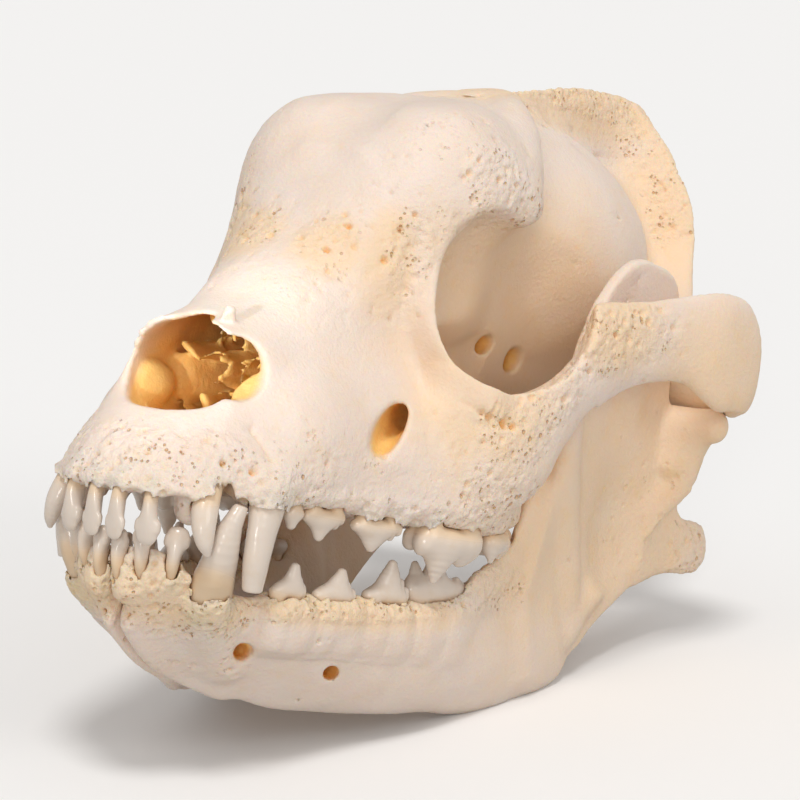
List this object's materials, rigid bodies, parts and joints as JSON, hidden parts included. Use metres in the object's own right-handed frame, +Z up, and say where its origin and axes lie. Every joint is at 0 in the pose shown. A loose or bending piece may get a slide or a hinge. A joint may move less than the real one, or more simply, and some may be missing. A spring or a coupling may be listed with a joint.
{
  "type": "dog skull",
  "caption": "Skull of a large, short-nosed mastiff-like dog with its lower jaw closed under it and its teeth in their sockets; it rests on the lower edges of the jaw.",
  "frame": {"origin": "middle of the box on the plane that the jaw rests on", "axes": "+Z up; the nose points along -Y and the back of the head along +Y; +X is the animal's left"},
  "size_m": [0.1445, 0.2769, 0.1619],
  "materials": {
    "cranium": "matte",
    "lower_canine_left": "satin",
    "lower_canine_right": "satin",
    "lower_carnassial_left": "satin",
    "lower_carnassial_right": "satin",
    "lower_incisor_1_left": "satin",
    "lower_incisor_1_right": "satin",
    "lower_incisor_2_left": "satin",
    "lower_incisor_2_right": "satin",
    "lower_incisor_3_left": "satin",
    "lower_incisor_3_right": "satin",
    "lower_molar_2_left": "satin",
    "lower_molar_2_right": "satin",
    "lower_molar_3_left": "satin",
    "lower_molar_3_right": "satin",
    "lower_premolar_2_left": "satin",
    "lower_premolar_2_right": "satin",
    "lower_premolar_3_left": "satin",
    "lower_premolar_3_right": "satin",
    "lower_premolar_4_left": "satin",
    "lower_premolar_4_right": "satin",
    "mandible_left": "matte",
    "mandible_right": "matte",
    "upper_canine_left": "satin",
    "upper_canine_right": "satin",
    "upper_carnassial_left": "satin",
    "upper_carnassial_right": "satin",
    "upper_incisor_1_left": "satin",
    "upper_incisor_1_right": "satin",
    "upper_incisor_2_left": "satin",
    "upper_incisor_2_right": "satin",
    "upper_incisor_3_left": "satin",
    "upper_incisor_3_right": "satin",
    "upper_molar_1_left": "satin",
    "upper_molar_1_right": "satin",
    "upper_molar_2_left": "satin",
    "upper_molar_2_right": "satin",
    "upper_premolar_1_left": "satin",
    "upper_premolar_1_right": "satin",
    "upper_premolar_2_left": "satin",
    "upper_premolar_2_right": "satin",
    "upper_premolar_3_left": "satin",
    "upper_premolar_3_right": "satin"
  },
  "bodies": {
    "root": {"cranium": "cranium", "lower_canine_left": "lower_canine_left", "lower_canine_right": "lower_canine_right", "lower_carnassial_left": "lower_carnassial_left", "lower_carnassial_right": "lower_carnassial_right", "lower_incisor_1_left": "lower_incisor_1_left", "lower_incisor_1_right": "lower_incisor_1_right", "lower_incisor_2_left": "lower_incisor_2_left", "lower_incisor_2_right": "lower_incisor_2_right", "lower_incisor_3_left": "lower_incisor_3_left", "lower_incisor_3_right": "lower_incisor_3_right", "lower_molar_2_left": "lower_molar_2_left", "lower_molar_2_right": "lower_molar_2_right", "lower_molar_3_left": "lower_molar_3_left", "lower_molar_3_right": "lower_molar_3_right", "lower_premolar_2_left": "lower_premolar_2_left", "lower_premolar_2_right": "lower_premolar_2_right", "lower_premolar_3_left": "lower_premolar_3_left", "lower_premolar_3_right": "lower_premolar_3_right", "lower_premolar_4_left": "lower_premolar_4_left", "lower_premolar_4_right": "lower_premolar_4_right", "mandible_left": "mandible_left", "mandible_right": "mandible_right", "upper_canine_left": "upper_canine_left", "upper_canine_right": "upper_canine_right", "upper_carnassial_left": "upper_carnassial_left", "upper_carnassial_right": "upper_carnassial_right", "upper_incisor_1_left": "upper_incisor_1_left", "upper_incisor_1_right": "upper_incisor_1_right", "upper_incisor_2_left": "upper_incisor_2_left", "upper_incisor_2_right": "upper_incisor_2_right", "upper_incisor_3_left": "upper_incisor_3_left", "upper_incisor_3_right": "upper_incisor_3_right", "upper_molar_1_left": "upper_molar_1_left", "upper_molar_1_right": "upper_molar_1_right", "upper_molar_2_left": "upper_molar_2_left", "upper_molar_2_right": "upper_molar_2_right", "upper_premolar_1_left": "upper_premolar_1_left", "upper_premolar_1_right": "upper_premolar_1_right", "upper_premolar_2_left": "upper_premolar_2_left", "upper_premolar_2_right": "upper_premolar_2_right", "upper_premolar_3_left": "upper_premolar_3_left", "upper_premolar_3_right": "upper_premolar_3_right"}
  },
  "joints": []
}
